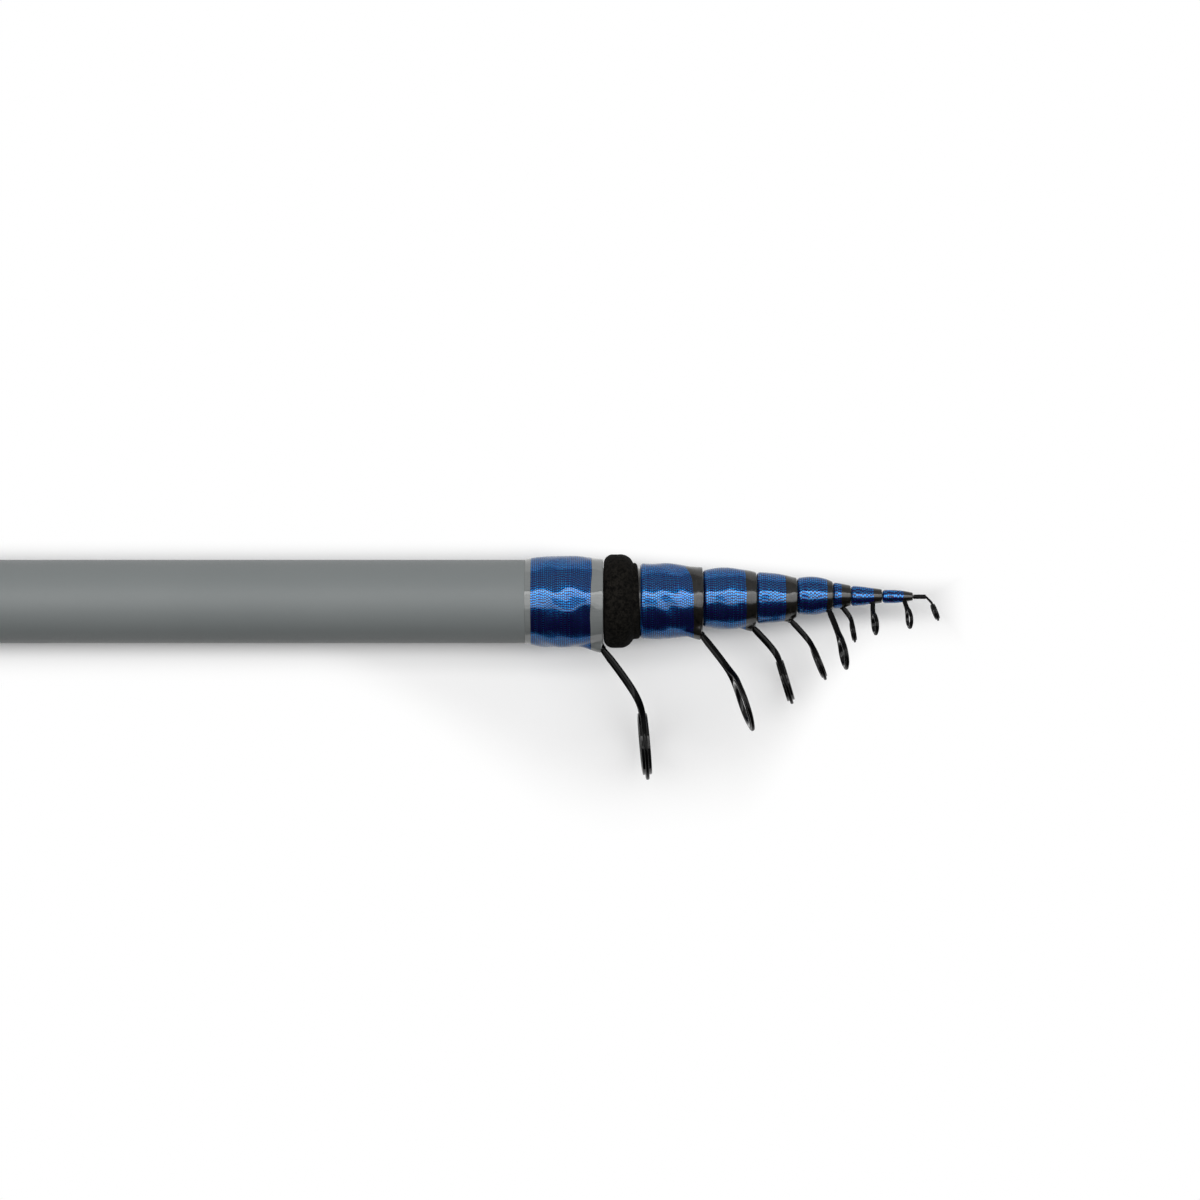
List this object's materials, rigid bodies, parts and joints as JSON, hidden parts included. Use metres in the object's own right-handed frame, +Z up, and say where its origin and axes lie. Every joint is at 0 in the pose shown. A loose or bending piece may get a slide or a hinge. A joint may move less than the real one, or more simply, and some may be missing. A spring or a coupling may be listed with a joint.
{
  "type": "telescopic fishing rod",
  "caption": "Telescopic fishing rod, closed, with nested tapered sections, a line guide on each mouth, a foam collar, a plate reel seat and a screw butt cap.",
  "frame": {"origin": "centre of the butt cap's end face, on the butt's axis", "axes": "+X along the rod from butt to tip, +Z up as the rod lies, guides and reel seat on the -Y side"},
  "size_m": [0.7511, 0.0679, 0.0376],
  "materials": {
    "grey_blank": "satin grey lacquer on fibre tube",
    "carbon_blank": "polished dark fibre tube",
    "blue_thread": "metallic blue thread under clear resin",
    "clear_resin": "gloss resin over the dark blank",
    "grey_resin": "gloss resin over the grey blank",
    "black_frame": "gloss black",
    "ring_ceramic": "polished black",
    "foam": "fine closed-cell foam",
    "cap_metal": "black anodised, knurled",
    "soft_rubber": "matte",
    "bush_brass": "turned",
    "seat_metal": "satin black",
    "hood_metal": "gloss black",
    "pin_steel": "ground"
  },
  "bodies": {
    "butt": {"butt_tube": "grey_blank", "butt_bush": "bush_brass", "butt_winding": "blue_thread", "butt_resin": "grey_resin", "guide_1_frame": "black_frame", "guide_1_insert": "ring_ceramic", "seat_plate": "seat_metal", "seat_rear_winding": "blue_thread", "seat_front_winding": "blue_thread", "seat_fixed_hood": "hood_metal"},
    "section_2": {"section_2_tube": "carbon_blank", "section_2_winding": "blue_thread", "section_2_resin": "clear_resin", "guide_2_frame": "black_frame", "guide_2_insert": "ring_ceramic", "foam_collar": "foam"},
    "section_3": {"section_3_tube": "carbon_blank", "section_3_winding": "blue_thread", "section_3_resin": "clear_resin", "guide_3_frame": "black_frame", "guide_3_insert": "ring_ceramic"},
    "section_4": {"section_4_tube": "carbon_blank", "section_4_winding": "blue_thread", "section_4_resin": "clear_resin", "guide_4_frame": "black_frame", "guide_4_insert": "ring_ceramic"},
    "section_5": {"section_5_tube": "carbon_blank", "section_5_winding": "blue_thread", "section_5_resin": "clear_resin", "guide_5_frame": "black_frame", "guide_5_insert": "ring_ceramic"},
    "section_6": {"section_6_tube": "carbon_blank", "section_6_winding": "blue_thread", "section_6_resin": "clear_resin", "guide_6_frame": "black_frame", "guide_6_insert": "ring_ceramic"},
    "section_7": {"section_7_tube": "carbon_blank", "section_7_winding": "blue_thread", "section_7_resin": "clear_resin", "guide_7_frame": "black_frame", "guide_7_insert": "ring_ceramic"},
    "section_8": {"section_8_tube": "carbon_blank", "section_8_winding": "blue_thread", "section_8_resin": "clear_resin", "guide_8_frame": "black_frame", "guide_8_insert": "ring_ceramic"},
    "tip": {"tip_blank": "carbon_blank", "tip_ring_frame": "black_frame", "tip_ring_insert": "ring_ceramic"},
    "washer": {"cap_washer": "soft_rubber"},
    "cap": {"butt_cap": "cap_metal", "cap_pad": "soft_rubber"},
    "sliding_hood": {"seat_sliding_hood": "hood_metal", "seat_lever_pin": "pin_steel"},
    "lever": {"seat_lever": "hood_metal"}
  },
  "joints": [
    {"name": "section_2_slide", "type": "slide", "parent": "butt", "child": "section_2", "axis": [1, -0.0002, 0], "range_m": [0, 0.547]},
    {"name": "section_3_slide", "type": "slide", "parent": "section_2", "child": "section_3", "axis": [1, -0.0014, 0], "range_m": [0, 0.59]},
    {"name": "section_4_slide", "type": "slide", "parent": "section_3", "child": "section_4", "axis": [1, -0.0003, 0], "range_m": [0, 0.617]},
    {"name": "section_5_slide", "type": "slide", "parent": "section_4", "child": "section_5", "axis": [1, -0.001, 0], "range_m": [0, 0.637]},
    {"name": "section_6_slide", "type": "slide", "parent": "section_5", "child": "section_6", "axis": [1, 0, 0], "range_m": [0, 0.655]},
    {"name": "section_7_slide", "type": "slide", "parent": "section_6", "child": "section_7", "axis": [1, 0.0001, 0], "range_m": [0, 0.667]},
    {"name": "section_8_slide", "type": "slide", "parent": "section_7", "child": "section_8", "axis": [1, 0.0002, 0], "range_m": [0, 0.68]},
    {"name": "tip_slide", "type": "slide", "parent": "section_8", "child": "tip", "axis": [1, 0.0001, 0], "range_m": [0, 0.694]},
    {"name": "cap_travel", "type": "slide", "parent": "butt", "child": "washer", "axis": [-1, 0, 0], "range_m": [0, 0.015]},
    {"name": "cap_turn", "type": "hinge", "parent": "washer", "child": "cap", "pos_m": [0, 0, 0], "axis": [-1, 0, 0], "range_deg": [0, 3600]},
    {"name": "hood_slide", "type": "slide", "parent": "butt", "child": "sliding_hood", "axis": [1, 0, 0], "range_m": [-0.018, 0.012]},
    {"name": "lever_turn", "type": "hinge", "parent": "sliding_hood", "child": "lever", "pos_m": [0.2826, -0.01967, 0], "axis": [0, 0, 1], "range_deg": [0, 110]}
  ],
  "couplings": [
    {"joint": "cap_travel", "follows": "cap_turn", "m_per_rad": 0.00023873}
  ]
}
